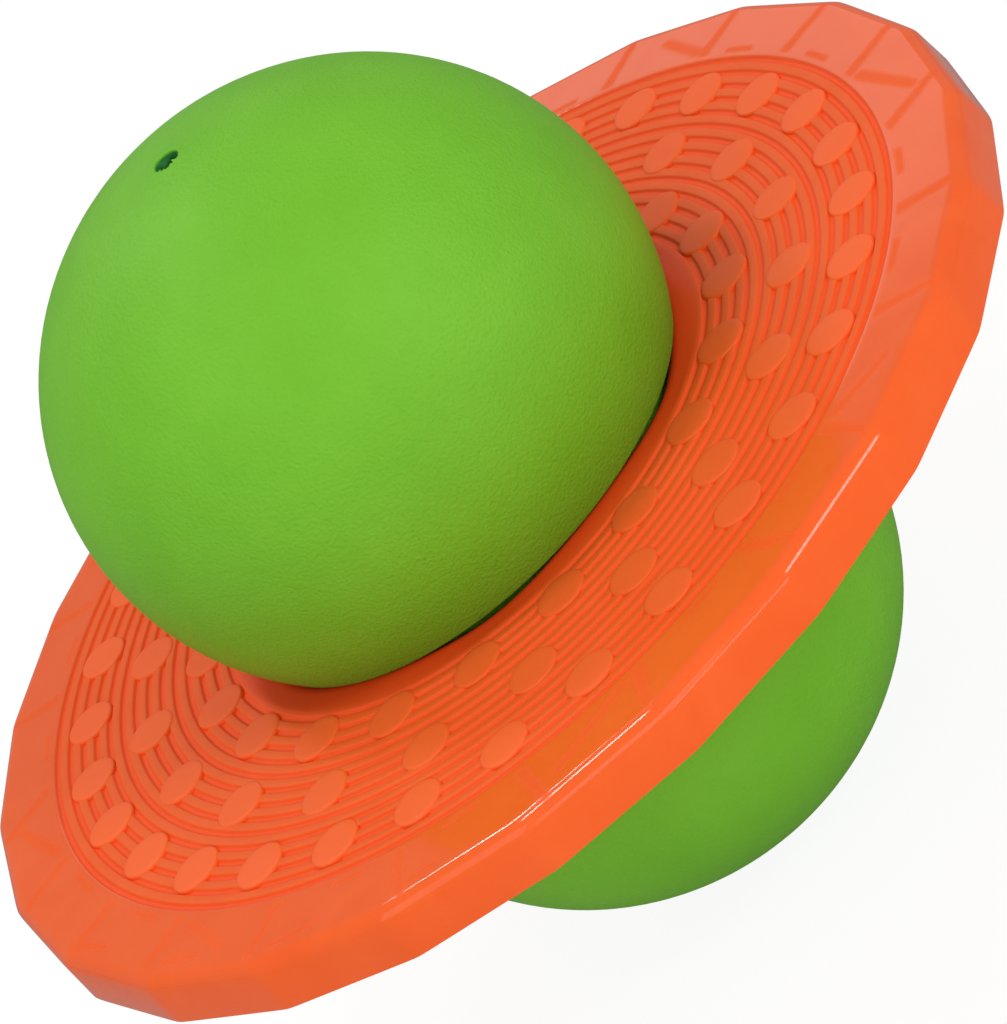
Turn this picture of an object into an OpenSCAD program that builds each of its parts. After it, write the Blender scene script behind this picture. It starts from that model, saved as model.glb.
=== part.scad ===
// Pogo ball: a figure-eight air ball held in the opening of a round standing deck.
// Millimetres, +Z up along the ball's axis. The origin is the middle of the patch the ball stands on.

/* [Ball] */
// Largest radius of each lobe
lobe_r = 95; // [85:1:105]
// Half height of each lobe, from its middle to its pole
lobe_half_h = 91; // [84:1:100]
// Distance from the neck up or down to the middle of a lobe
lobe_offset = 55; // [50:1:60]
// Wall of the ball
ball_wall = 3.5; // [2.5:0.5:5]
// Height pressed flat where the ball stands
rest_flat = 2.5; // [1:0.5:5]
// Distance below the neck's groove at which the lower lobe starts to flatten
split_drop = 1.8; // [1.5:0.1:6]

/* [Deck] */
// Radius to the corners of the rim at the bottom of the skirt
deck_corner_r = 189; // [175:1:205]
// How far the corners of the upper edge step in
crease_in = 1.5; // [1:0.5:3]
// Height of that step
crease_h = 1.5; // [1:0.5:3]
// Sides of the rim
deck_sides = 24; // [16:1:32]
// Turn of the rim's corners against the pads
rim_turn = 9; // [0:0.5:15]
// Height of the skirt
deck_h = 15.7; // [14:0.1:20]
// Drop from the top of the collar to the skirt's upper edge
rim_drop = 0.05; // [0.05:0.05:2]
// Skin of the deck
deck_skin = 3.2; // [2.5:0.1:4]
// Thickness of the skirt
skirt_t = 3; // [2:0.5:4]
// Thickness of the ribs underneath
rib_t = 2.4; // [1.6:0.2:4]
// Rise of the ribs above the lower edge of the skirt
rib_lift = 2; // [1:0.5:4]
// Corners of the rim from one radial rib to the next
rib_step = 2; // [2:1:4]

/* [Opening] */
// Radius of the rolled edge
nose_r = 7.9; // [7:0.1:9.5]
// How deep the rolled edge presses into the ball's waist
nose_bite = 1.6; // [0.6:0.1:3]
// Room between the rolled edge and the neck
neck_gap = 0.3; // [0.2:0.05:0.6]
// Scallops round the opening, which make it six-sided
scallop_count = 6; // [5:1:7]
// Radius of a scallop
scallop_r = 45; // [38:0.5:50]
// How far a scallop reaches past the middle of the rolled edge
scallop_out = 4; // [2:0.5:6]
// Wall along a scallop
scallop_wall = 2.4; // [1.6:0.2:3]
// Turn of the scallops against the pads
scallop_turn = 26; // [-30:1:30]

/* [Grip] */
// Distance from the middle of the rolled edge to the first groove
groove_start = 10.8; // [10:0.1:14]
// Smooth margin from the last groove to the rim's corners
margin_w = 28; // [20:0.5:34]
// Width of a groove
groove_w = 2.4; // [1:0.1:3]
// Depth of a groove
groove_d = 0.9; // [0.5:0.1:1.6]
// How far a pad is wider than the three ring widths that it stands on
pad_over = 1.45; // [-2:0.05:2]
// Rise of a pad above the rings
pad_h = 0.5; // [0.3:0.1:1.5]
// Step from the collar up to the grip's inner edge
grip_step = 0.1; // [0.05:0.05:1]
// Rise of the grip from its inner to its outer edge
grip_rise = 1.9; // [1:0.1:3]

/* [Valve] */
// Angle from the upper pole to the valve, seen from the middle of the lobe
valve_lean = 4.6; // [0:0.1:12]
// Direction in which the valve is off the pole
valve_turn = -37; // [-180:1:180]
// Diameter of the hole that shows
valve_hole_d = 8; // [7:0.1:9]
// Depth of that hole down to the plug's seat
valve_hole_h = 5; // [4:0.5:6]
// Bore that holds the plug
plug_bore_d = 5.6; // [5:0.1:6]
// Length of the plug below its head
plug_len = 13; // [10:0.5:14]

/* [Hidden] */
$fn = 96;
eps = 0.01;

// Height of the neck above the floor
neck_z = lobe_offset + lobe_half_h - rest_flat;

// The ball's waist, the rolled edge that presses into it, and the groove that this leaves in the ball
waist_r = lobe_r * sqrt(1 - pow(lobe_offset / lobe_half_h, 2));
nose_ring_r = waist_r + nose_r - nose_bite;
scallop_reach = nose_ring_r + scallop_out;
neck_arc_r = nose_r + neck_gap;
split_z = neck_z - neck_arc_r - split_drop;

// Heights of the deck above the neck
deck_high = nose_r - rim_drop;
deck_low = deck_high - deck_h;
grip_low = nose_r + grip_step;
grip_high = grip_low + grip_rise;

// Steps of a lobe's profile
lobe_steps = 60;
lobe_step_deg = 180 / lobe_steps;

// Grip rings counted outward: where pads stand, and how many in a ring
groove_count = 14;
groove_first_r = nose_ring_r + groove_start;
groove_pitch = (deck_corner_r - margin_w - groove_first_r) / (groove_count - 1);
pad_d = 3 * groove_pitch + pad_over;
pad_rings = [[1.5, 20, 9], [6, 20, 0], [10.5, 30, 0]];
grip_in_r = groove_first_r - groove_pitch / 3;
grip_out_r = groove_first_r + (groove_count - 1) * groove_pitch + groove_pitch / 3;

// Radii of the ring-shaped ribs underneath, between the bands of pads and under the grip's edge
rib_rings = [groove_r(3.5), groove_r(8.5), groove_r(13)];
rib_low = deck_low + rib_lift;
rib_high = nose_r - 0.6 * deck_skin;

// Turn of the seams of round faces, away from the pads and the ribs
seam_turn = 4.3;

// The collar runs from the rolled edge out and laps the grip's inner edge
collar_out_r = grip_in_r + 0.5;

// Valve sizes that follow from the wall
seat_d = valve_hole_d + 8;
seat_flange_d = seat_d + 10;
seat_flange_h = 2.2;
seat_tube_d = plug_bore_d + 6;
seat_tube_h = 18;
plug_fit = 0.1;
plug_head_h = 2;

ball_green = "#76B336";
valve_green = "#2F5A26";
deck_orange = "#E8633A";

// Height of the grip's ring tops above the neck at radius r
function grip_z(r) = grip_low + (grip_high - grip_low) * (r - grip_in_r) / (grip_out_r - grip_in_r);

// Radius of one groove, counted from 0
function groove_r(k) = groove_first_r + k * groove_pitch;

// Profile of one lobe beside the axis, pole to pole, with a small flat at each pole
function lobe_points(inset, side) = [
    for (k = [-1 : lobe_steps])
        let (on_axis = k < 0 || k == lobe_steps,
             t = 90 - lobe_step_deg * (0.5 + min(max(k, 0), lobe_steps - 1)))
        [on_axis ? 0 : (lobe_r - inset) * cos(t),
         side * lobe_offset + (lobe_half_h - inset) * sin(t)]
];

// A solid lobe, shrunk all round by inset
module lobe(inset, side) {
    rotate_extrude($fn = 180)
        polygon(lobe_points(inset, side));
}

// Both lobes as one solid about the neck, with the groove that the rolled edge presses into it
module ball_solid(inset) {
    difference() {
        union() {
            lobe(inset, 1);
            lobe(inset, -1);
        }
        rotate_extrude($fn = 180)
            translate([nose_ring_r, 0])
                circle(r = neck_arc_r + inset);
    }
}

// The hollow ball between two heights above the floor
module ball_shell(low, high) {
    intersection() {
        translate([0, 0, neck_z])
            difference() {
                ball_solid(0);
                ball_solid(ball_wall);
            }
        translate([0, 0, low])
            cylinder(r = lobe_r + 5, h = high - low);
    }
}

// Moves its children from the floor's frame to the valve, with +Z out of the ball
module at_valve() {
    translate([0, 0, neck_z + lobe_offset])
        rotate([0, 0, valve_turn])
            rotate([0, valve_lean, 0])
                translate([0, 0, lobe_half_h])
                    children();
}

// Room in the ball's wall for the valve seat
module valve_room() {
    at_valve()
        translate([0, 0, -2 * seat_d])
            cylinder(d = seat_d, h = 3 * seat_d);
}

// The rim's outline, with its corners at radius r
module rim_outline(r) {
    polygon([for (k = [0 : deck_sides - 1]) r * [cos(rim_turn + k * 360 / deck_sides),
                                                 sin(rim_turn + k * 360 / deck_sides)]]);
}

// The rolled edge, half a tube open to the outside, and the collar on it
module rolled_edge() {
    rotate_extrude($fn = 180) {
        translate([nose_ring_r, 0])
            difference() {
                circle(r = nose_r);
                circle(r = nose_r - deck_skin);
                translate([0, -2 * nose_r])
                    square([2 * nose_r, 4 * nose_r]);
            }
        translate([nose_ring_r, nose_r - deck_skin])
            square([collar_out_r - nose_ring_r, deck_skin]);
    }
}

// The six-sided opening, as overlapping scallops of radius r
module opening(r) {
    translate([0, 0, -deck_h])
        linear_extrude(2 * deck_h)
            for (k = [0 : scallop_count - 1])
                rotate(scallop_turn + k * 360 / scallop_count)
                    translate([scallop_reach - scallop_r, 0])
                        circle(r = r);
}

// Walls along the scallops, where they cut into the rolled edge
module scallop_walls() {
    intersection() {
        opening(scallop_r + scallop_wall);
        translate([0, 0, rib_low + 0.7])
            difference() {
                cylinder(r = collar_out_r - 0.2, h = rib_high - rib_low - 0.9);
                translate([0, 0, -1])
                    cylinder(r = nose_ring_r - nose_r / 2, h = deck_h);
            }
    }
}

// The grip, the margin outside it and the rim, turned in one piece and filled down to the floor of the skirt
module turned_deck() {
    ring_top = [
        for (k = [0 : groove_count - 1])
            let (r = groove_r(k), w = groove_w / 2)
            each [[r - w, grip_z(r)], [r - w, grip_z(r) - groove_d],
                  [r + w, grip_z(r) - groove_d], [r + w, grip_z(r)]]
    ];
    rotate([0, 0, seam_turn])
        rotate_extrude($fn = 180)
            polygon(concat(
                [[grip_in_r, deck_low - 1], [grip_in_r, grip_low]],
                ring_top,
                [[grip_out_r, grip_high], [grip_out_r + 1.5, grip_high - 0.6],
                 [deck_corner_r - crease_in, deck_high], [deck_corner_r + 5, deck_high - crease_in],
                 [deck_corner_r + 5, deck_low - 1]]));
}

// The many-sided rim with its stepped upper edge
module rim_prism() {
    translate([0, 0, deck_low])
        linear_extrude(deck_h - crease_h)
            rim_outline(deck_corner_r);
    translate([0, 0, deck_low + crease_h])
        linear_extrude(2 * deck_h)
            rim_outline(deck_corner_r - crease_in);
}

// The deck's skin and skirt, open underneath
module tray() {
    difference() {
        intersection() {
            turned_deck();
            rim_prism();
        }
        translate([0, 0, deck_low - 2])
            linear_extrude(grip_low - deck_skin - deck_low + 2)
                rim_outline(deck_corner_r - crease_in - skirt_t);
    }
}

// Round pads, standing through the grooves
module pads() {
    for (ring = pad_rings)
        let (r = groove_first_r + ring[0] * groove_pitch)
        for (k = [0 : ring[1] - 1])
            rotate([0, 0, ring[2] + k * 360 / ring[1]])
                translate([r, 0, grip_low - deck_skin / 2])
                    rotate([0, 0, seam_turn])
                        cylinder(d = pad_d, h = grip_z(r) + pad_h - grip_low + deck_skin / 2);
}

// Radial ribs from the rolled edge to the skirt, and lower rings between them, grown into the skin
module ribs() {
    rib_in = nose_ring_r - nose_r / 2;
    rib_out = deck_corner_r - crease_in - skirt_t / 2;
    for (k = [0 : rib_step : deck_sides - 1])
        rotate([0, 0, rim_turn + k * 360 / deck_sides])
            translate([rib_in, -rib_t / 2, rib_low])
                cube([rib_out - rib_in, rib_t, rib_high - rib_low]);
    for (r = rib_rings)
        translate([0, 0, rib_low + 0.4])
            rotate([0, 0, seam_turn])
                difference() {
                    cylinder(r = r + rib_t / 2, h = rib_high - rib_low - 0.6);
                    translate([0, 0, -1])
                        cylinder(r = r - rib_t / 2, h = deck_h);
                }
}

module deck() {
    color(deck_orange)
        translate([0, 0, neck_z]) {
            tray();
            pads();
            difference() {
                union() {
                    rolled_edge();
                    scallop_walls();
                    ribs();
                }
                opening(scallop_r);
            }
        }
}

module upper_ball() {
    color(ball_green)
        difference() {
            ball_shell(split_z, neck_z + lobe_offset + lobe_half_h + 1);
            valve_room();
        }
}

module lower_ball() {
    color(ball_green)
        union() {
            ball_shell(0, split_z);
            intersection() {
                translate([0, 0, neck_z])
                    lobe(0, -1);
                cylinder(r = lobe_r, h = ball_wall);
            }
        }
}

module valve_seat() {
    color(ball_green)
        difference() {
            union() {
                intersection() {
                    at_valve()
                        translate([0, 0, -ball_wall - 1.5 * seat_flange_h])
                            cylinder(d = seat_d, h = 2 * seat_d);
                    translate([0, 0, neck_z])
                        lobe(0, 1);
                }
                intersection() {
                    at_valve()
                        translate([0, 0, -ball_wall - 1.5 * seat_flange_h])
                            cylinder(d = seat_flange_d, h = 2 * seat_d);
                    translate([0, 0, neck_z])
                        lobe(ball_wall, 1);
                }
                at_valve()
                    translate([0, 0, -seat_tube_h])
                        cylinder(d = seat_tube_d, h = seat_tube_h - ball_wall);
            }
            at_valve()
                translate([0, 0, -valve_hole_h])
                    cylinder(d = valve_hole_d, h = 2 * valve_hole_h);
            at_valve()
                translate([0, 0, -seat_tube_h - 1])
                    cylinder(d = plug_bore_d, h = seat_tube_h + 2);
        }
}

module valve_plug() {
    color(valve_green)
        at_valve()
            translate([0, 0, -valve_hole_h]) {
                cylinder(d = valve_hole_d - 4 * plug_fit, h = plug_head_h);
                translate([0, 0, -plug_len])
                    cylinder(d = plug_bore_d - 2 * plug_fit, h = plug_len + eps);
            }
}

deck();
upper_ball();
lower_ball();
valve_seat();
valve_plug();
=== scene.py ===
"""Pogo ball: a figure-eight air ball held in the opening of a round standing deck.

Every piece is modelled in metres in the frame of the CAD model, with +Z up along the ball's axis
and the origin in the middle of the patch that the ball stands on. Each piece replaces its CAD node,
and the deck, the seat and the plug ride on the CAD model's bodies. Lengths in the fields are
millimetres unless a name says otherwise.
"""

from __future__ import annotations

import logging
import math
import random
from collections.abc import Callable, Sequence
from dataclasses import dataclass
from enum import Enum
from functools import partial

import bmesh
import bpy
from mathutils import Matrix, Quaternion, Vector


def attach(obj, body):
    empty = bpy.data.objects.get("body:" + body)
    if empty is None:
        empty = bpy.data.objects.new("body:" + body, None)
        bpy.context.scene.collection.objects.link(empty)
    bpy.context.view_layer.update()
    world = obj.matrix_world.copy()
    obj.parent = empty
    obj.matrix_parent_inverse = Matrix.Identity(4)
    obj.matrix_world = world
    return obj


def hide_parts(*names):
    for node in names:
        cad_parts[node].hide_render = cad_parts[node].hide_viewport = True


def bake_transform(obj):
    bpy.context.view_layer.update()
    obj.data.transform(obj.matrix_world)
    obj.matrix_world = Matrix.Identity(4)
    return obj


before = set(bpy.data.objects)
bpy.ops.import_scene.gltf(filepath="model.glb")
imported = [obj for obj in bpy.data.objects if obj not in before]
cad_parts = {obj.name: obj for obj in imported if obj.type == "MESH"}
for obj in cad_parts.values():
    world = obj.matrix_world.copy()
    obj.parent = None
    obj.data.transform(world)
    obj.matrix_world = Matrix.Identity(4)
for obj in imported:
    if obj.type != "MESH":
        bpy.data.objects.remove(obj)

LOG = logging.getLogger("pogo_ball")
MM = 0.001
# Millimetres in a metre, for the scales of patterns
PER_METRE = 1000
TURN = 2 * math.pi
UP = Vector((0, 0, 1))
PLASTIC_IOR = 1.5
# Nearly all values of a noise texture lie in this band
NOISE_BAND = {"From Min": 0.3, "From Max": 0.7}
# A rounded corner takes up at most this share of the edges beside it
CORNER_SHARE = 0.48

Point = tuple[float, float]
Corner = tuple[float, float, float]
Colour = tuple[float, float, float, float]
Inputs = dict[str | int, object]
AddNode = Callable[..., bpy.types.Node]


def linear(code: str) -> Colour:
    """Turns an sRGB hex value into a linear colour.

    Args:
        code: Six hex digits, with or without a leading #.

    Returns:
        Red, green and blue in linear light, and an alpha of 1.
    """
    digits = code.lstrip("#")
    parts = [int(digits[k : k + 2], 16) / 255 for k in (0, 2, 4)]
    red, green, blue = (
        c / 12.92 if c <= 0.04045 else ((c + 0.055) / 1.055) ** 2.4 for c in parts
    )
    return (red, green, blue, 1.0)


def feed(tree: bpy.types.NodeTree, node: bpy.types.Node, inputs: Inputs) -> None:
    """Sets a node's inputs, or links them to the outputs of other nodes.

    Args:
        tree: The node tree that it is in.
        node: The node.
        inputs: A value, or the output socket to link, for each input by name or number.
    """
    for key, value in inputs.items():
        if isinstance(value, bpy.types.NodeSocket):
            tree.links.new(value, node.inputs[key])
        else:
            node.inputs[key].default_value = value


def add_node(
    tree: bpy.types.NodeTree, kind: str, inputs: Inputs | None = None, **settings: object
) -> bpy.types.Node:
    """Adds a node with its settings and links.

    Args:
        tree: The node tree that it goes into.
        kind: Blender's name for the kind of node.
        inputs: A value, or the output socket to link, for each input by name or number.
        **settings: The node's own properties.

    Returns:
        The new node.
    """
    made = tree.nodes.new(kind)
    for key, value in settings.items():
        setattr(made, key, value)
    feed(tree, made, inputs or {})
    return made


def smoothstep(low: float, high: float, value: float) -> float:
    """Eases from 0 at low to 1 at high."""
    t = min(1.0, max(0.0, (value - low) / (high - low)))
    return t * t * (3 - 2 * t)


def bell(value: float) -> float:
    """Gives a bell curve, which is 1 at 0."""
    return math.exp(-(value**2))


def spin_by(degrees: float) -> Quaternion:
    """Gives a turn about the upright axis."""
    return Quaternion((0, 0, 1), math.radians(degrees))


def rounded(corners: Sequence[Corner], closed: bool, steps: int = 3) -> list[Point]:
    """Rounds the corners of a profile that is drawn beside the axis.

    Args:
        corners: Radius, height and corner radius of each point, in millimetres.
        closed: Whether the last point joins the first.
        steps: Segments in each rounded corner.

    Returns:
        Radius and height of each point of the rounded profile, in metres.
    """
    points: list[Point] = []
    count = len(corners)
    for k, (r, z, radius) in enumerate(corners):
        here = Vector((r, z))
        ends = not closed and k in (0, count - 1)
        if radius <= 0 or ends:
            points.append((r * MM, z * MM))
            continue
        before = Vector(corners[(k - 1) % count][:2]) - here
        after = Vector(corners[(k + 1) % count][:2]) - here
        half = before.angle(after) / 2
        longest = CORNER_SHARE * before.length, CORNER_SHARE * after.length
        reach = min(radius / math.tan(half), *longest)
        first = here + before.normalized() * reach
        last = here + after.normalized() * reach
        for step in range(steps + 1):
            s = step / steps
            spot = first * (1 - s) ** 2 + here * (2 * s * (1 - s)) + last * s**2
            points.append((spot.x * MM, spot.y * MM))
    return points


class Part(Enum):
    """The parts of a mesh that are selected in edit mode."""

    POINTS = "VERT"
    EDGES = "EDGE"
    FACES = "FACE"


def deselect_all() -> None:
    """Leaves edit mode and deselects every object."""
    if bpy.context.object and bpy.context.object.mode != "OBJECT":
        bpy.ops.object.mode_set(mode="OBJECT")
    bpy.ops.object.select_all(action="DESELECT")


def take(obj: bpy.types.Object) -> None:
    """Selects one object alone and makes it active.

    Args:
        obj: The object.
    """
    deselect_all()
    obj.select_set(True)
    bpy.context.view_layer.objects.active = obj


def edit(obj: bpy.types.Object, kind: Part = Part.POINTS) -> None:
    """Opens one object in edit mode with nothing selected.

    Args:
        obj: The object to edit.
        kind: What is selected next.
    """
    take(obj)
    bpy.ops.object.mode_set(mode="EDIT")
    bpy.ops.mesh.select_mode(type=kind.value)
    bpy.ops.mesh.select_all(action="DESELECT")


def pick(obj: bpy.types.Object, kind: Part, test: Callable[[Vector], bool]) -> None:
    """Selects the edges or the faces of an edited mesh whose middle passes a test.

    Args:
        obj: The object in edit mode.
        kind: What to select.
        test: Says whether a part at that place is taken.
    """
    mesh = bmesh.from_edit_mesh(obj.data)
    if kind is Part.EDGES:
        places = [(e, (e.verts[0].co + e.verts[1].co) / 2) for e in mesh.edges]
    else:
        places = [(f, f.calc_center_median()) for f in mesh.faces]
    for part, place in places:
        part.select_set(test(place))
    mesh.select_flush_mode()
    bmesh.update_edit_mesh(obj.data)


def close_edit() -> None:
    """Merges doubles, turns all faces outwards and leaves edit mode."""
    bpy.ops.mesh.select_all(action="SELECT")
    bpy.ops.mesh.remove_doubles(threshold=1e-6)
    bpy.ops.mesh.normals_make_consistent(inside=False)
    bpy.ops.object.mode_set(mode="OBJECT")


def lathe(name: str, profile: Sequence[Point], steps: int, closed: bool) -> bpy.types.Object:
    """Draws a profile by extruding one vertex from point to point, then spins it about the axis.

    Args:
        name: The new object's name.
        profile: Radius and height of each point, in metres.
        steps: Segments round the axis.
        closed: Whether the profile's last point joins its first.

    Returns:
        The turned object, at the origin.
    """
    deselect_all()
    start = (profile[0][0], 0, profile[0][1])
    bpy.ops.mesh.primitive_plane_add(size=MM, location=start)
    obj = bpy.context.object
    obj.name = name
    obj.data.name = name
    bpy.ops.object.transform_apply(location=True)
    edit(obj)
    bpy.ops.mesh.select_all(action="SELECT")
    bpy.ops.mesh.merge(type="CENTER")
    for (r0, z0), (r1, z1) in zip(profile, profile[1:]):
        bpy.ops.mesh.extrude_region_move(
            TRANSFORM_OT_translate={"value": (r1 - r0, 0, z1 - z0)}
        )
    if closed:
        mesh = bmesh.from_edit_mesh(obj.data)
        for vertex in mesh.verts:
            vertex.select_set(len(vertex.link_edges) == 1)
        mesh.select_flush_mode()
        bmesh.update_edit_mesh(obj.data)
        bpy.ops.mesh.edge_face_add()
    bpy.ops.mesh.select_all(action="SELECT")
    bpy.ops.mesh.spin(steps=steps, angle=TURN, center=(0, 0, 0), axis=(0, 0, 1))
    close_edit()
    return obj


def cuboid(sides: Corner, middle: Corner) -> bpy.types.Object:
    """Adds a cube and draws it to its size and place.

    Args:
        sides: Its length, width and height, in millimetres.
        middle: Its middle, in millimetres.

    Returns:
        The block, in edit mode with all its edges selected.
    """
    deselect_all()
    bpy.ops.mesh.primitive_cube_add(size=1)
    block = bpy.context.object
    edit(block, Part.EDGES)
    bpy.ops.mesh.select_all(action="SELECT")
    bpy.ops.transform.resize(value=tuple(side * MM for side in sides))
    bpy.ops.transform.translate(value=tuple(along * MM for along in middle))
    return block


def reshape(obj: bpy.types.Object, move: Callable[[Vector], Vector]) -> None:
    """Moves every vertex of a finished mesh.

    Args:
        obj: The object.
        move: Gives a vertex's new place from its old one.
    """
    for vertex in obj.data.vertices:
        vertex.co = move(vertex.co)
    obj.data.update()


def note(obj: bpy.types.Object, name: str, values: Sequence[float]) -> None:
    """Keeps one number per vertex in the mesh, for a material to read.

    Args:
        obj: The object.
        name: The attribute's name.
        values: A number for each vertex, in order.
    """
    obj.data.attributes.new(name, "FLOAT", "POINT").data.foreach_set("value", values)


def copy_of(obj: bpy.types.Object) -> bpy.types.Object:
    """Copies an object, with a mesh of its own.

    Args:
        obj: The object to copy.

    Returns:
        The copy, in the scene.
    """
    copy = obj.copy()
    copy.data = obj.data.copy()
    bpy.context.collection.objects.link(copy)
    return copy


def join(name: str, parts: Sequence[bpy.types.Object]) -> bpy.types.Object:
    """Joins objects into the first of them.

    Args:
        name: The joined object's name.
        parts: The objects, all at the origin.

    Returns:
        The joined object.
    """
    deselect_all()
    for part in parts:
        part.select_set(True)
    bpy.context.view_layer.objects.active = parts[0]
    bpy.ops.object.join()
    parts[0].name = name
    parts[0].data.name = name
    return parts[0]


def smooth(obj: bpy.types.Object, degrees: float) -> None:
    """Shades an object smooth except across edges sharper than an angle."""
    take(obj)
    bpy.ops.object.shade_smooth_by_angle(angle=math.radians(degrees))


def aimed(
    name: str, data: bpy.types.ID, place: Corner, aim: Corner, roll: float = 0.0
) -> bpy.types.Object:
    """Puts a lamp or a camera in the scene, facing a point.

    Args:
        name: The object's name.
        data: The lamp or the camera.
        place: Where it stands, in metres.
        aim: The point that it faces, in metres.
        roll: Its turn about its own axis, in degrees.

    Returns:
        The new object.
    """
    made = bpy.data.objects.new(name, data)
    bpy.context.collection.objects.link(made)
    made.location = place
    made.rotation_mode = "QUATERNION"
    look = (Vector(aim) - Vector(place)).to_track_quat("-Z", "Y")
    made.rotation_quaternion = look @ spin_by(roll)
    return made


@dataclass(frozen=True)
class Finish:
    """A finish, which is built as a material under its own name.

    Attributes:
        name: The material's name.
    """

    name: str

    def sockets(self, node: AddNode, place: bpy.types.NodeSocket) -> Inputs:
        """Builds the nodes of the finish.

        Args:
            node: Adds a node to the material.
            place: Gives the place on the piece, which patterns read.

        Returns:
            What the inputs of the material's shader get.
        """
        raise NotImplementedError

    def material(self) -> bpy.types.Material:
        """Builds the material.

        Returns:
            The new material.
        """
        made = bpy.data.materials.new(self.name)
        made.use_nodes = True
        tree = made.node_tree
        node = partial(add_node, tree)
        place = node("ShaderNodeTexCoord").outputs["Object"]
        feed(tree, tree.nodes["Principled BSDF"], self.sockets(node, place))
        return made


@dataclass(frozen=True)
class GrainedVinyl(Finish):
    """Soft PVC, rotationally moulded in a leather-grained mould: matte, with broad highlights.

    Attributes:
        bright: Colour of the high spots.
        deep: Colour of the low spots.
        grain: Width of one grain, in millimetres.
        crease: Width of one crease, in grains.
        lift: Height of the grain, in millimetres.
        mottle: Width of the soft colour patches, in millimetres.
        roughness: Roughness of the surface.
        smoother: How far the roughness drops where the crease pattern is lowest.
        rougher: How far it rises where that pattern is highest.
        shine: Strength of the reflections, where 0.5 is that of plain clear plastic.
    """

    bright: str
    deep: str
    grain: float = 1.0
    crease: float = 1.7
    lift: float = 0.24
    mottle: float = 45.0
    roughness: float = 0.55
    smoother: float = 0.05
    rougher: float = 0.06
    shine: float = 0.22

    def sockets(self, node: AddNode, place: bpy.types.NodeSocket) -> Inputs:
        """Builds the nodes for soft colour patches and for a grain of pores and creases.

        Args:
            node: Adds a node to the material.
            place: Gives the place on the piece, which patterns read.

        Returns:
            What the inputs of the material's shader get.
        """
        patches = node(
            "ShaderNodeTexNoise",
            {"Vector": place, "Scale": PER_METRE / self.mottle, "Detail": 3.0, "Roughness": 0.55},
        )
        pores = node(
            "ShaderNodeTexVoronoi",
            {"Vector": place, "Scale": PER_METRE / self.grain, "Randomness": 1.0},
            feature="SMOOTH_F1",
        )
        crease_scale = PER_METRE / (self.crease * self.grain)
        creases = node(
            "ShaderNodeTexNoise",
            {"Vector": place, "Scale": crease_scale, "Detail": 4.0, "Roughness": 0.6},
        )
        height = node(
            "ShaderNodeMath",
            {0: pores.outputs["Distance"], 1: creases.outputs[0]},
            operation="ADD",
        )
        tint = node("ShaderNodeMapRange", {"Value": patches.outputs[0], **NOISE_BAND})
        colour = node(
            "ShaderNodeMix",
            {0: tint.outputs["Result"], 6: linear(self.deep), 7: linear(self.bright)},
            data_type="RGBA",
        )
        gloss = node(
            "ShaderNodeMapRange",
            {
                "Value": creases.outputs[0],
                **NOISE_BAND,
                "To Min": self.roughness - self.smoother,
                "To Max": self.roughness + self.rougher,
            },
        )
        bump = node(
            "ShaderNodeBump",
            {"Strength": 1.0, "Distance": self.lift * MM, "Height": height.outputs[0]},
        )
        return {
            "Base Color": colour.outputs[2],
            "Roughness": gloss.outputs["Result"],
            "Normal": bump.outputs["Normal"],
            "IOR": PLASTIC_IOR,
            "Specular IOR Level": self.shine,
        }


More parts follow.
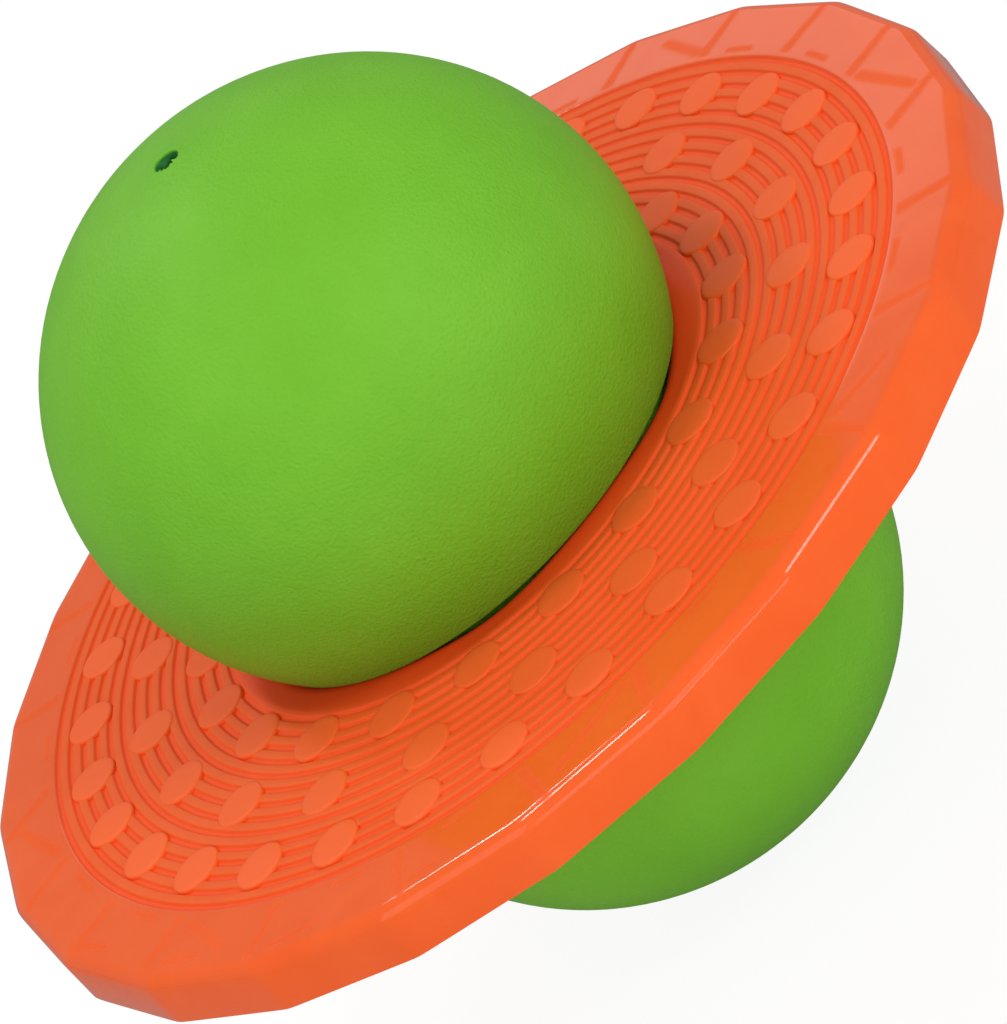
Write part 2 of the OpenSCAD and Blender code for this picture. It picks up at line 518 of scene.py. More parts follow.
@dataclass(frozen=True)
class MouldedPolypropylene(Finish):
    """Polypropylene, injection moulded: glossy where the mould was polished, satin elsewhere.

    Attributes:
        bright: Colour where the pigment lies thin.
        deep: Colour where it lies thick.
        hollow: Colour of the painted shade: a deeper, redder colour laid into the grooves, the
            collar, the pads' feet and the marks.
        painted_sheen: Colour of the painted sheen that lightens the pads' tops.
        satin_r: Radius about the axis inside which the mould was blasted, in millimetres.
        satin_edge: Half the width of the change from blasted to polished, in millimetres.
        flow: Length of the flow marks, in millimetres.
        ripple: Width of the surface's waves, in millimetres.
        scuff: Width of a scuff, in waves.
        lift: Height of the waves, in millimetres.
        gloss: Roughness of the polished surface.
        satin: Roughness of the blasted surface.
        smoother: How much less rough the surface is between scuffs.
        rougher: How much rougher it is in them.
        shine: Strength of the reflections, where 0.5 is that of plain clear plastic.
        satin_shine: Share of the shine that the blasted surface keeps.
    """

    bright: str
    deep: str
    hollow: str
    painted_sheen: str
    satin_r: float = 0.0
    satin_edge: float = 0.5
    flow: float = 30.0
    ripple: float = 9.0
    scuff: float = 0.3
    lift: float = 0.008
    gloss: float = 0.1
    satin: float = 0.45
    smoother: float = 0.02
    rougher: float = 0.05
    shine: float = 0.32
    satin_shine: float = 0.4

    def sockets(self, node: AddNode, place: bpy.types.NodeSocket) -> Inputs:
        """Builds the nodes for flow marks, painted shade in grooves and collar, painted sheen on
        the pads' tops, satin, gouges, scuffs and waves.

        Args:
            node: Adds a node to the material.
            place: Gives the place on the piece, which patterns read.

        Returns:
            What the inputs of the material's shader get.
        """
        marks = node(
            "ShaderNodeTexNoise",
            {"Vector": place, "Scale": PER_METRE / self.flow, "Detail": 4.0, "Distortion": 1.2},
        )
        waves = node(
            "ShaderNodeTexNoise",
            {"Vector": place, "Scale": PER_METRE / self.ripple, "Detail": 2.0},
        )
        scuff_scale = PER_METRE / (self.scuff * self.ripple)
        scuffs = node(
            "ShaderNodeTexNoise",
            {"Vector": place, "Scale": scuff_scale, "Detail": 5.0, "Roughness": 0.65},
        )
        tint = node("ShaderNodeMapRange", {"Value": marks.outputs[0], **NOISE_BAND})
        colour = node(
            "ShaderNodeMix",
            {0: tint.outputs["Result"], 6: linear(self.deep), 7: linear(self.bright)},
            data_type="RGBA",
        )
        # Mixes in the painted shade and then the painted sheen, by the shares that the mesh keeps
        for attribute, code in (("hollow", self.hollow), ("crest", self.painted_sheen)):
            share = node("ShaderNodeAttribute", attribute_name=attribute)
            colour = node(
                "ShaderNodeMix",
                {0: share.outputs["Fac"], 6: colour.outputs[2], 7: linear(code)},
                data_type="RGBA",
            )
        flat = node("ShaderNodeVectorMath", {0: place, 1: (1, 1, 0)}, operation="MULTIPLY")
        reach = node("ShaderNodeVectorMath", {0: flat.outputs[0]}, operation="LENGTH")
        blasted = node(
            "ShaderNodeMapRange",
            {
                "Value": reach.outputs["Value"],
                "From Min": (self.satin_r - self.satin_edge) * MM,
                "From Max": (self.satin_r + self.satin_edge) * MM,
                "To Min": 1.0,
                "To Max": 0.0,
            },
        ).outputs["Result"]
        gouge = node("ShaderNodeAttribute", attribute_name="gouge").outputs["Fac"]
        dull = node("ShaderNodeMath", {0: gouge, 1: blasted}, operation="MAXIMUM")
        dulled = node(
            "ShaderNodeMath",
            {0: dull.outputs[0], 1: self.satin - self.gloss},
            operation="MULTIPLY",
        )
        shine = node(
            "ShaderNodeMapRange",
            {"Value": blasted, "To Min": self.shine, "To Max": self.satin_shine * self.shine},
        )
        kept = node("ShaderNodeMath", {0: 1.0, 1: gouge}, operation="SUBTRACT")
        shown = node(
            "ShaderNodeMath",
            {0: shine.outputs["Result"], 1: kept.outputs[0]},
            operation="MULTIPLY",
        )
        scuffed = node(
            "ShaderNodeMapRange",
            {
                "Value": scuffs.outputs[0],
                "From Min": 0.35,
                "From Max": 0.75,
                "To Min": self.gloss - self.smoother,
                "To Max": self.gloss + self.rougher,
            },
        )
        roughness = node(
            "ShaderNodeMath",
            {0: dulled.outputs[0], 1: scuffed.outputs["Result"]},
            operation="ADD",
        )
        bump = node(
            "ShaderNodeBump",
            {"Strength": 0.5, "Distance": self.lift * MM, "Height": waves.outputs[0]},
        )
        return {
            "Base Color": colour.outputs[2],
            "Roughness": roughness.outputs[0],
            "Normal": bump.outputs["Normal"],
            "IOR": PLASTIC_IOR,
            "Specular IOR Level": shown.outputs[0],
        }


class Side(Enum):
    """The two lobes of the ball, by the sign of their height above the neck."""

    UPPER = 1
    LOWER = -1


# The skin round the valve: radius beyond that of the hole, height above the lobe and rounding
VALVE_LIP: tuple[Corner, ...] = (
    (0.9, -4.6, 0),
    (0.5, -1.6, 0.5),
    (0.15, -1.1, 0.5),
    (0.25, 0.35, 0.8),
    (1.1, 0.35, 0),
    (1.7, 0.32, 0),
    (2.2, 0.28, 0),
    (2.7, 0.22, 0),
    (3.3, 0.14, 0),
    (4.0, 0.05, 0),
    (5.0, 0.0, 0),
)


@dataclass
class Ball:
    """The air-filled figure-eight ball, one seamless skin that stands on a flat patch.

    Attributes:
        lobe_r: Largest radius of each lobe.
        lobe_half_h: Half height of each lobe.
        lobe_offset: Distance from the neck to the middle of a lobe.
        neck_z: Height of the neck above the floor.
        groove_ring_r: Radius to the middle of the groove that the deck presses into the neck.
        groove_r: Radius of that groove.
        groove_start: Angle of the groove's first point, in degrees.
        groove_step: Angle from one of its points to the next, in degrees.
        groove_points: How many points it has.
        lip_r: Rounding of the groove's lips.
        lip_room: Angle that is left free for that rounding, in degrees.
        lobe_step: Angle from one point of a lobe to the next, in degrees.
        patch_edge: Rounding of the edge of the rest patch.
        split_drop: Distance below the neck at which the lower lobe starts to flatten; not used.
        valve_lean: Angle from the upper pole to the valve, in degrees.
        valve_turn: Direction in which the valve is off the pole, in degrees.
        hole_r: Radius of the valve hole.
        rag_out: Distance from the hole's edge to the middle of its ragged band.
        rag_w: Width of that band.
        rag_in: How far the band reaches into the hole.
        rag_sag: How far nicks in it sink and tags rise, as a share of their depth.
        dent_out: Distance from the hole's edge to the dent beside it.
        dent_turn: Direction of the dent, in radians.
        dent_r: Radius of the dent.
        dent_d: Depth of the dent.
        crown_degrees: Angle on the upper lobe above which the skin is turned about the valve.
        crown_step: Distance between the rings of skin outside the valve's lip.
        steps: Segments round the axis.
    """

    lobe_r: float = 95.0
    lobe_half_h: float = 91.0
    lobe_offset: float = 55.0
    neck_z: float = 143.5
    groove_ring_r: float = 81.985
    groove_r: float = 8.2
    groove_start: float = 122.0
    groove_step: float = 11.6
    groove_points: int = 11
    lip_r: float = 2.6
    lip_room: float = 4.0
    lobe_step: float = 2.4
    patch_edge: float = 1.5
    split_drop: float = 10.0
    valve_lean: float = 4.6
    valve_turn: float = -37.0
    hole_r: float = 4.0
    rag_out: float = 0.3
    rag_w: float = 0.45
    rag_in: float = 0.12
    rag_sag: float = 0.3
    dent_out: float = 2.4
    dent_turn: float = 0.8
    dent_r: float = 1.0
    dent_d: float = 0.6
    crown_degrees: float = 62.0
    crown_step: float = 2.6
    steps: int = 144

    def on_lobe(self, side: Side, degrees: float) -> Point:
        """Gives a point on a lobe's profile.

        Args:
            side: Which lobe.
            degrees: Angle above the lobe's own middle.

        Returns:
            Radius and height, in millimetres.
        """
        t = math.radians(degrees)
        middle = self.neck_z + side.value * self.lobe_offset
        return self.lobe_r * math.cos(t), middle + self.lobe_half_h * math.sin(t)

    def arc(self, side: Side, start: float, end: float) -> list[Corner]:
        """Draws part of a lobe's profile.

        Args:
            side: Which lobe.
            start: Angle above the lobe's middle of the first point, in degrees.
            end: Angle of the last point, below the first.

        Returns:
            The points, none of them rounded.
        """
        count = round((start - end) / self.lobe_step)
        step = (start - end) / count
        return [(*self.on_lobe(side, start - k * step), 0) for k in range(count + 1)]

    def lip_degrees(self) -> float:
        """Finds where a lobe's profile meets the groove.

        Returns:
            The angle below the lobe's middle, in degrees.
        """
        low, high = 0.0, math.degrees(math.asin(self.lobe_offset / self.lobe_half_h))
        for _ in range(50):
            middle = (low + high) / 2
            r, z = self.on_lobe(Side.UPPER, -middle)
            clear = math.hypot(r - self.groove_ring_r, z - self.neck_z) > self.groove_r
            low, high = (middle, high) if clear else (low, middle)
        return low

    def profile(self) -> list[Point]:
        """Draws the ball's profile from below its crown down to the middle of its rest patch.

        Returns:
            Radius and height of each point, in metres.
        """
        lip = self.lip_degrees()
        corners = self.arc(Side.UPPER, self.crown_degrees, self.lip_room - lip)
        corners.append((*self.on_lobe(Side.UPPER, -lip), self.lip_r))
        for k in range(self.groove_points):
            t = math.radians(self.groove_start + k * self.groove_step)
            r = self.groove_ring_r + self.groove_r * math.cos(t)
            corners.append((r, self.neck_z + self.groove_r * math.sin(t), 0))
        corners.append((*self.on_lobe(Side.LOWER, lip), self.lip_r))
        floor = math.degrees(math.asin((self.neck_z - self.lobe_offset) / self.lobe_half_h))
        corners += self.arc(Side.LOWER, lip - self.lip_room, -floor)
        patch = corners[-1][0]
        corners[-1] = (patch, 0.0, self.patch_edge)
        corners += [(0.7 * patch, 0.0, 0), (0.35 * patch, 0.0, 0), (0.0, 0.0, 0)]
        return rounded(corners, closed=False, steps=5)

    def upper_middle(self) -> Vector:
        """Gives the middle of the upper lobe, in metres."""
        return Vector((0, 0, self.neck_z + self.lobe_offset)) * MM

    def valve_axes(self) -> tuple[Vector, Quaternion]:
        """Gives the valve's place on the skin, in metres, and the turn that lays +Z along it."""
        turn = spin_by(self.valve_turn) @ Quaternion((0, 1, 0), math.radians(self.valve_lean))
        return self.upper_middle() + (turn @ UP) * self.lobe_half_h * MM, turn

    def on_skin(self, place: Vector) -> Vector:
        """Lays a point near the crown on the upper lobe, along the line from its middle.

        Args:
            place: The point, in metres.

        Returns:
            The point on the lobe, in metres.
        """
        middle = self.upper_middle()
        ray = place - middle
        flat = math.hypot(ray.x, ray.y) / (self.lobe_r * MM)
        tall = ray.z / (self.lobe_half_h * MM)
        return middle + ray / math.hypot(flat, tall)

    def crown(self) -> bpy.types.Object:
        """Models the skin round the valve: a disc with a ragged hole, laid on the upper lobe.

        Returns:
            The crown.
        """
        lip = [(self.hole_r + r, z, radius) for r, z, radius in VALVE_LIP]
        lip_end = lip[-1][0]
        lip += [(lip_end + k * self.crown_step, 0.0, 0) for k in range(1, 6)]
        crown = lathe("crown", rounded(lip, closed=False, steps=4), self.steps, closed=False)
        spot, turn = self.valve_axes()
        # Direction and width in radians, and depth, of shallow nicks and then of tags that stand in
        rng = random.Random(11)
        rags = [
            (rng.uniform(0, TURN), rng.uniform(0.12, 0.3), rng.uniform(0.1, 0.3))
            for _ in range(6)
        ]
        rags += [
            (rng.uniform(-1.7, 0.4), rng.uniform(0.05, 0.1), rng.uniform(-0.7, -0.3))
            for _ in range(8)
        ]
        dent = Vector((self.hole_r + self.dent_out, 0, 0)) * MM
        dent.rotate(Quaternion((0, 0, 1), self.dent_turn))

        def lay(place: Vector) -> Vector:
            """Lays a point on the lobe, ragged at the hole's edge and dented beside it.

            Args:
                place: The point on the flat disc, in metres.

            Returns:
                Its place on the ball, in metres.
            """
            reach = math.hypot(place.x, place.y) / MM
            angle = math.atan2(place.y, place.x)
            edge = bell((reach - self.hole_r - self.rag_out) / self.rag_w)
            rag = sum(
                depth * bell(((angle - turned + math.pi) % TURN - math.pi) / width)
                for turned, width, depth in rags
            )
            grown = 1 + edge * (rag - self.rag_in) / max(reach, 1.0)
            flat = Vector((place.x * grown, place.y * grown, 0))
            base = self.on_skin(spot + turn @ flat)
            sunk = self.dent_d * bell((flat - dent).length / (self.dent_r * MM))
            return base + (turn @ UP) * (place.z - (edge * rag * self.rag_sag + sunk) * MM)

        reshape(crown, lay)
        return crown

    def build(self) -> bpy.types.Object:
        """Models the ball: a turned body, and a crown turned about the valve and bridged to it.

        Returns:
            The ball.
        """
        body = lathe("ball", self.profile(), self.steps, closed=False)
        ball = join("ball", [body, self.crown()])
        spot, turn = self.valve_axes()
        axis = turn @ UP

        def off_axis(place: Vector) -> float:
            """Gives a place's distance from the valve's axis, in metres."""
            away = place - spot
            return (away - axis * away.dot(axis)).length

        edit(ball, Part.EDGES)
        mesh = bmesh.from_edit_mesh(ball.data)
        for rim in mesh.edges:
            if rim.is_boundary:
                middle = (rim.verts[0].co + rim.verts[1].co) / 2
                rim.select_set(off_axis(middle) > 2 * self.hole_r * MM)
        mesh.select_flush_mode()
        bmesh.update_edit_mesh(ball.data)
        bpy.ops.mesh.bridge_edge_loops(number_cuts=6, interpolation="LINEAR")
        close_edit()
        outer = (self.hole_r + 6.0) * MM
        crown_z = (self.neck_z + self.lobe_offset + 0.8 * self.lobe_half_h) * MM

        def settle(place: Vector) -> Vector:
            """Lays the bridge between crown and body on the lobe."""
            bridged = place.z > crown_z and off_axis(place) > outer
            return self.on_skin(place) if bridged else place

        reshape(ball, settle)
        smooth(ball, 60)
        return ball

    def dress(self, ball: bpy.types.Object, finish: GrainedVinyl) -> None:
        """Gives the ball its finish, hides the CAD parts of both of its bodies and bakes its place
        into its mesh.

        Args:
            ball: The modelled ball.
            finish: The ball's finish.
        """
        ball.data.materials.append(finish.material())
        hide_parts("upper_ball", "lower_ball")
        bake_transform(ball)


class Mark(Enum):
    """The gouged marks on the deck's margin: half widths at both ends and depth, in millimetres."""

    SLASH = (3.8, 2.8, 0.015)
    BRANCH = (3.2, 2.8, 0.015)
    DASH = (2.3, 2.3, 0.01)
    CHIP = (2.0, 2.8, 0.015)


@dataclass(frozen=True)
class Stroke:
    """One shallow mark, gouged into the margin.

    Attributes:
        mark: What kind of mark it is.
        start: Angle in degrees and radius in millimetres of its first end.
        end: Angle and radius of its other end.
    """

    mark: Mark
    start: Point
    end: Point

    def share(self, x: float, y: float) -> float:
        """Gives how much of the stroke's depth is reached at a place on the deck.

        Args:
            x: Place along X, in millimetres.
            y: Place along Y, in millimetres.

        Returns:
            The share, 0 outside the stroke and 1 along its middle.
        """
        ax, ay = self.at(self.start)
        bx, by = self.at(self.end)
        dx, dy = bx - ax, by - ay
        t = min(1.0, max(0.0, ((x - ax) * dx + (y - ay) * dy) / (dx * dx + dy * dy)))
        away = math.hypot(x - ax - t * dx, y - ay - t * dy)
        first, last, _ = self.mark.value
        return 1 - smoothstep(0.0, 1.0, away / (first + (last - first) * t))

    @staticmethod
    def at(spot: Point) -> Point:
        """Turns an angle and a radius into a place on the deck."""
        t = math.radians(spot[0])
        return spot[1] * math.cos(t), spot[1] * math.sin(t)


@dataclass
class Deck:
    """The standing deck, one moulding: collar and rolled edge, grip, margin, skirt and ribs.

    Attributes:
        neck_z: Height of the deck's middle above the floor.
        corner_r: Radius to the rim's corners at the bottom of the skirt.
        crease_in: How far the corners of the upper edge step in.
        corner_soft: Distance along the rim over which a corner is rounded.
        sides: Sides of the rim.
        rim_turn: Angle of the rim's first corner, in degrees.
        half_h: Half the height of the skirt.
        skin: Thickness of the skin.
        skirt_t: Thickness of the skirt.
        shoulder_r: Radius of the roll from the margin into the skirt.
        shoulder_z: Height of the margin where that roll starts, above the neck.
        nose_in_r: Radius of the opening at its tightest.
        nose_r: Radius of the rolled edge.
        nose_t: Thickness of the rolled edge.
        collar_r: Radius from which the six-sided shape and the collar's painted shade fade.
        collar_end_r: Radius at which that colour has faded.
        hex_out: How far the opening's six corners lie outside its sides.
        hex_drop: How far the collar dips at those corners.
        hex_turn: Angle of the opening's first corner, in degrees.
        groove_first_r: Radius of the first groove.
        groove_pitch: Distance from one groove to the next.
        groove_w: Width of a groove.
        groove_d: Depth of a groove.
        groove_run: Width of each of a groove's sloping walls.
        groove_tint: How far a groove takes on the colour of painted shade, from 0 to 1.
        grip_low: Height of the grip's inner edge above the neck.
        grip_high: Height of its outer edge.
        grip_slope: Slope of the grip, in degrees.
        ledge_w: Width of the ledge between the last groove and the margin.
        mark_in_r: Radius at which the corners' marks start.
        mark_out_r: Radius at which they end.
        mark_dull: How dull a mark is at most, from 0 to 1.
        mark_tint: How far a fully dull mark takes on the colour of painted shade.
        chipped: Corners of the rim beside which the margin is chipped.
        pad_d: Diameter of a pad.
        pad_h: Rise of a pad above the rings.
        pad_depth: Depth of a pad's whole disc, most of it sunk in the grip.
        pad_tint: How far a pad's foot takes on the colour of painted shade.
        rib_t: Thickness of the ribs underneath.
        rib_lift: Rise of the ribs above the skirt's lower edge.
        rib_rings: Places of the ring-shaped ribs, in grooves.
        grooves: How many grooves the grip has.
        pad_rings: For each ring of pads, its place in grooves, how many pads, the first one's
            angle and how far painted sheen lightens their tops, from 0 to 1.
        leans: How far each corner's mark leans over its length, in degrees, twice round the rim.
    """

    neck_z: float = 143.5
    corner_r: float = 189.0
    crease_in: float = 1.0
    corner_soft: float = 1.6
    sides: int = 24
    rim_turn: float = 9.0
    half_h: float = 7.85
    skin: float = 3.2
    skirt_t: float = 3.0
    shoulder_r: float = 5.0
    shoulder_z: float = 9.7
    nose_in_r: float = 74.1
    nose_r: float = 7.8
    nose_t: float = 2.4
    collar_r: float = 84.0
    collar_end_r: float = 97.0
    hex_out: float = 2.4
    hex_drop: float = 0.5
    hex_turn: float = 26.0
    groove_first_r: float = 92.785
    groove_pitch: float = 5.247
    groove_w: float = 2.4
    groove_d: float = 0.9
    groove_run: float = 0.55
    groove_tint: float = 0.5
    grip_low: float = 8.0
    grip_high: float = 9.9
    grip_slope: float = 1.5
    ledge_w: float = 1.3
    mark_in_r: float = 165.0
    mark_out_r: float = 182.5
    mark_dull: float = 0.75
    mark_tint: float = 0.15
    chipped: tuple[int, ...] = (13, 14, 15, 16)
    pad_d: float = 17.2
    pad_h: float = 0.35
    pad_depth: float = 3.0
    pad_tint: float = 0.3
    rib_t: float = 2.4
    rib_lift: float = 2.0
    rib_rings: tuple[float, ...] = (3.5, 8.5, 13.0)
    grooves: int = 14
    pad_rings: tuple[tuple[float, int, float, float], ...] = (
        (1.5, 20, 9.0, 0.25),
        (6.0, 20, 0.0, 0.45),
        (10.5, 30, 0.0, 0.65),
    )
    leans: tuple[float, ...] = (1.5, -0.5, -1.0, -1.5, 0.8, 1.8, -1.2, 2.2, -0.6, 1.4, 0.3, 3.0)

    def side_degrees(self) -> float:
        """Gives the angle that one side of the rim takes up."""
        return 360 / self.sides

    def groove_at(self, k: float) -> float:
        """Gives the radius of a groove, counted from 0."""
        return self.groove_first_r + k * self.groove_pitch

    def grip_z(self, r: float) -> float:
        """Gives the height of the ring tops at a radius.

        Args:
            r: A radius on the grip.

        Returns:
            The height above the neck.
        """
        inner = self.groove_at(0) - self.groove_pitch / 3
        outer = self.groove_at(self.grooves - 1) + self.groove_pitch / 3
        return self.grip_low + (self.grip_high - self.grip_low) * (r - inner) / (outer - inner)

    def margin_z(self, r: float) -> float:
        """Gives the height of the margin at a radius.

        Args:
            r: A radius on the margin.

        Returns:
            The height above the neck.
        """
        inner = self.groove_at(self.grooves - 1)
        outer = self.corner_r - self.crease_in - self.shoulder_r
        rise = self.shoulder_z - self.grip_high
        return self.grip_high + rise * (r - inner) / (outer - inner)

    def groove(self, k: int) -> list[Corner]:
        """Draws one groove as a soft wave, from its inner to its outer edge.

        Args:
            k: Which groove, counted from 0.

        Returns:
            The four corners of the groove.
        """
        r, w = self.groove_at(k), self.groove_w / 2
        top, low = self.grip_z(r), self.grip_z(r) - self.groove_d
        foot = w - self.groove_run
        return [
            (r - w, top, 0.6),
            (r - foot, low, 0.5),
            (r + foot, low, 0.5),
            (r + w, top, 0.6),
        ]

    def hollow(self, r: float, z: float) -> float:
        """Gives the share of painted shade at a place on the grip: 0 on the rings and 1 at the
        collar.

        Args:
            r: Radius of the place.
            z: Its height above the neck.

        Returns:
            The share, from 0 to 1.
        """
        depth = (self.grip_z(r) - z) / self.groove_d
        underneath = depth >= 1.5
        grooved = 0.0 if underneath else max(0.0, min(1.0, depth))
        collar = 1 - smoothstep(self.collar_r, self.collar_end_r, r)
        return max(self.groove_tint * grooved, collar)

    def lifted(self, corners: Sequence[Corner]) -> list[Corner]:
        """Raises a profile that is drawn about the neck to its height above the floor."""
        return [(r, z + self.neck_z, radius) for r, z, radius in corners]

    def grip_ring(self) -> bpy.types.Object:
        """Models the rolled edge, the collar and the grip's rings as one turned piece.

        Returns:
            The ring.
        """
        corners: list[Corner] = []
        middle = self.nose_in_r + self.nose_r
        for k in range(13):
            t = math.radians(270 - k * 15)
            corners.append((middle + self.nose_r * math.cos(t), self.nose_r * math.sin(t), 0))
        edge = self.groove_at(0) - self.groove_pitch / 3
        corners.append((edge - 4.5, self.nose_r + 0.1, 3.0))
        corners.append((edge - 1.2, self.grip_low, 0.9))
        for k in range(self.grooves - 1):
            corners += self.groove(k)
        last = self.groove(self.grooves - 1)
        outer = last[2][0]
        corners += [*last[:2], (outer, last[2][1], 0)]
        corners.append((outer, self.grip_high - self.skin - self.groove_d, 0))
        corners.append((edge, self.grip_low - self.skin, 1.0))
        inner = self.nose_r - self.nose_t
        for k in range(9):
            t = math.radians(90 + k * 22.5)
            corners.append((middle + inner * math.cos(t), inner * math.sin(t), 0))
        profile = rounded(self.lifted(corners), closed=True, steps=2)
        ring = lathe("grip_ring", profile, 216, closed=True)
        sunk: list[float] = []

        def six_sided(place: Vector) -> Vector:
            """Draws the opening out and down to its six rounded corners.

            Args:
                place: A point of the turned ring, in metres.

            Returns:
                Its new place, in metres.
            """
            r = math.hypot(place.x, place.y) / MM
            # Keeps the share of painted shade for each vertex: deeper in the grooves, full in the
            # collar
            sunk.append(self.hollow(r, place.z / MM - self.neck_z))
            fade = 1 - smoothstep(self.collar_r, edge - 0.6, r)
            if fade <= 0:
                return place
            angle = math.degrees(math.atan2(place.y, place.x)) - self.hex_turn
            off = abs((angle + 30) % 60 - 30) / 30
            share = (1 - smoothstep(0.0, 0.9, off)) * fade
            grown = (r + self.hex_out * share) / r
            drop = self.hex_drop * share * MM
            return Vector((place.x * grown, place.y * grown, place.z - drop))

        reshape(ring, six_sided)
        note(ring, "hollow", sunk)
        return ring

    def strokes(self) -> list[Stroke]:
        """Lays out the marks: a slash at each corner, a branch or dash on each side, a few chips.

        Returns:
            The strokes.
        """
        rng = random.Random(5)
        marks: list[Stroke] = []
        step = self.side_degrees()
        for k in range(self.sides):
            corner = self.rim_turn + k * step
            lean = self.leans[k % len(self.leans)]
            foot = corner + 0.8 + rng.uniform(-0.6, 0.6)
            start, end = (foot, self.mark_in_r), (foot + lean, self.mark_out_r)
            marks.append(Stroke(Mark.SLASH, start, end))
            if k % 6 == 5:
                marks.append(Stroke(Mark.BRANCH, (corner + 14.0, 166.5), (corner + 5.0, 176.5)))
            elif k % 6 == 2:
                marks.append(Stroke(Mark.BRANCH, (corner + 2.5, 167.0), (corner + 9.0, 176.0)))
            else:
                spot = corner + step / 2 + rng.uniform(0.5, 2.5)
                marks.append(Stroke(Mark.DASH, (spot - 1.9, 165.2), (spot + 1.9, 165.2)))
            if k in self.chipped:
                chip = corner + rng.uniform(0.5, 2.0)
                marks.append(Stroke(Mark.CHIP, (chip + rng.uniform(4, 7), 178.0), (chip, 180.5)))
        return marks

    def strokes_by_side(self) -> dict[int, list[Stroke]]:
        """Sorts the marks by the sectors of the rim that they may reach into.

        Returns:
            The strokes for each sector, counted from +X.
        """
        sorted_marks: dict[int, list[Stroke]] = {}
        for stroke in self.strokes():
            middle = (stroke.start[0] + stroke.end[0]) / 2
            around = math.floor(middle % 360 / self.side_degrees())
            for near in (-1, 0, 1):
                sorted_marks.setdefault((around + near) % self.sides, []).append(stroke)
        return sorted_marks

    def rim_ring(self) -> bpy.types.Object:
        """Models the margin, the shoulder, the many-sided skirt and its lower lip as one ring.

        Returns:
            The ring.
        """
        inner = self.groove_at(self.grooves - 1)
        upper = self.corner_r - self.crease_in
        low = -self.half_h
        last = self.groove(self.grooves - 1)
        bed = last[2][1]
        corners: list[Corner] = [(inner - 0.6, bed - 0.5, 0), (inner, bed, 0), *last[2:]]
        ledge = inner + self.groove_w / 2 + self.ledge_w
        count = 15
        for k in range(count + 1):
            r = ledge + k * (upper - self.shoulder_r - ledge) / count
            corners.append((r, self.margin_z(r), 0))
        for k in range(1, 10):
            t = math.radians(90 - k * 9.2)
            r = upper - self.shoulder_r * (1 - math.cos(t))
            corners.append((r, self.shoulder_z - self.shoulder_r * (1 - math.sin(t)), 0))
        corners.append((self.corner_r, low, 0.8))
        corners.append((upper - self.skirt_t + 0.6, low, 0.7))
        corners.append((upper - self.skirt_t - 1.5, self.shoulder_z - self.skin - 1.0, 2.5))
        corners.append((inner - 0.6, self.grip_high - self.skin - self.groove_d, 0))
        profile = rounded(self.lifted(corners), closed=True, steps=2)
        ring = lathe("deck_rim", profile, 30 * self.sides, closed=True)
        half = math.pi / self.sides
        soft = self.corner_soft / upper
        marks = self.strokes_by_side()
        top = (self.neck_z + self.shoulder_z - 0.4 * self.shoulder_r) * MM
        gouged: list[float] = []
        sunk: list[float] = []

        def facet(place: Vector) -> Vector:
            """Draws the rim in to flat sides with soft corners, and gouges the margin's marks.

            Args:
                place: A point of the turned ring, in metres.

            Returns:
                Its new place, in metres.
            """
            r = math.hypot(place.x, place.y) / MM
            angle = math.atan2(place.y, place.x)
            off = (angle - math.radians(self.rim_turn)) % (2 * half) - half
            bend = half - math.hypot(half - abs(off), soft)
            drawn = smoothstep(inner + 2, upper - self.shoulder_r, r)
            grown = 1 + (math.cos(half) / math.cos(bend) - 1) * drawn
            x, y, z = place.x * grown, place.y * grown, place.z
            share = 0.0
            if z > top and r > ledge:
                around = math.floor(math.degrees(angle) % 360 / self.side_degrees())
                for stroke in marks.get(around, []):
                    cut = stroke.share(x / MM, y / MM)
                    share = max(share, cut)
                    z = min(z, place.z - cut * stroke.mark.value[2] * MM)
            gouged.append(min(self.mark_dull, 1.5 * share))
            height = place.z / MM - self.neck_z
            # Keeps the share of painted shade: by depth in the last groove, and a little in the
            # gouged marks
            sunk.append(self.hollow(r, height) if r < ledge else self.mark_tint * gouged[-1])
            return Vector((x, y, z))

        reshape(ring, facet)
        note(ring, "gouge", gouged)
        note(ring, "hollow", sunk)
        return ring

    def pad(self) -> bpy.types.Object:
        """Models one pad at the origin: a low disc with a rounded edge and a slightly domed face.

        Returns:
            The pad.
        """
        deselect_all()
        bpy.ops.mesh.primitive_cylinder_add(
            vertices=36,
            radius=self.pad_d / 2 * MM,
            depth=self.pad_depth * MM,
            end_fill_type="NGON",
        )
        disc = bpy.context.object
        disc.name = "pad"
        top = self.pad_depth / 2
        edit(disc, Part.EDGES)
        pick(disc, Part.EDGES, lambda place: place.z > (top - 0.1) * MM)
        bpy.ops.mesh.bevel(offset=0.8 * MM, segments=3, profile=0.5)
        bpy.ops.mesh.select_mode(type=Part.FACES.value)
        pick(
            disc,
            Part.FACES,
            lambda place: place.z > (top - 0.001) * MM and place.to_2d().length < 2 * MM,
        )
        bpy.ops.mesh.inset(thickness=1.6 * MM)
        bpy.ops.transform.translate(value=(0, 0, 0.05 * MM))
        bpy.ops.mesh.poke()
        close_edit()
        # Paints shade at each pad's foot, where it stands in the grooves
        depths = [top - v.co.z / MM for v in disc.data.vertices]
        note(disc, "hollow", [self.pad_tint * smoothstep(0.1, 0.9, depth) for depth in depths])
        return disc

    def pads(self) -> list[bpy.types.Object]:
        """Copies the pad to its places, each copy leaning with the grip's slope.

        Returns:
            The pads, with their places in their meshes.
        """
        first = self.pad()
        middle = self.pad_depth / 2
        lean = Quaternion((0, 1, 0), math.radians(-self.grip_slope))
        copies: list[bpy.types.Object] = []
        for ring, count, turn, sheen_level in self.pad_rings:
            r = self.groove_at(ring)
            top = self.neck_z + self.grip_z(r) + self.pad_h
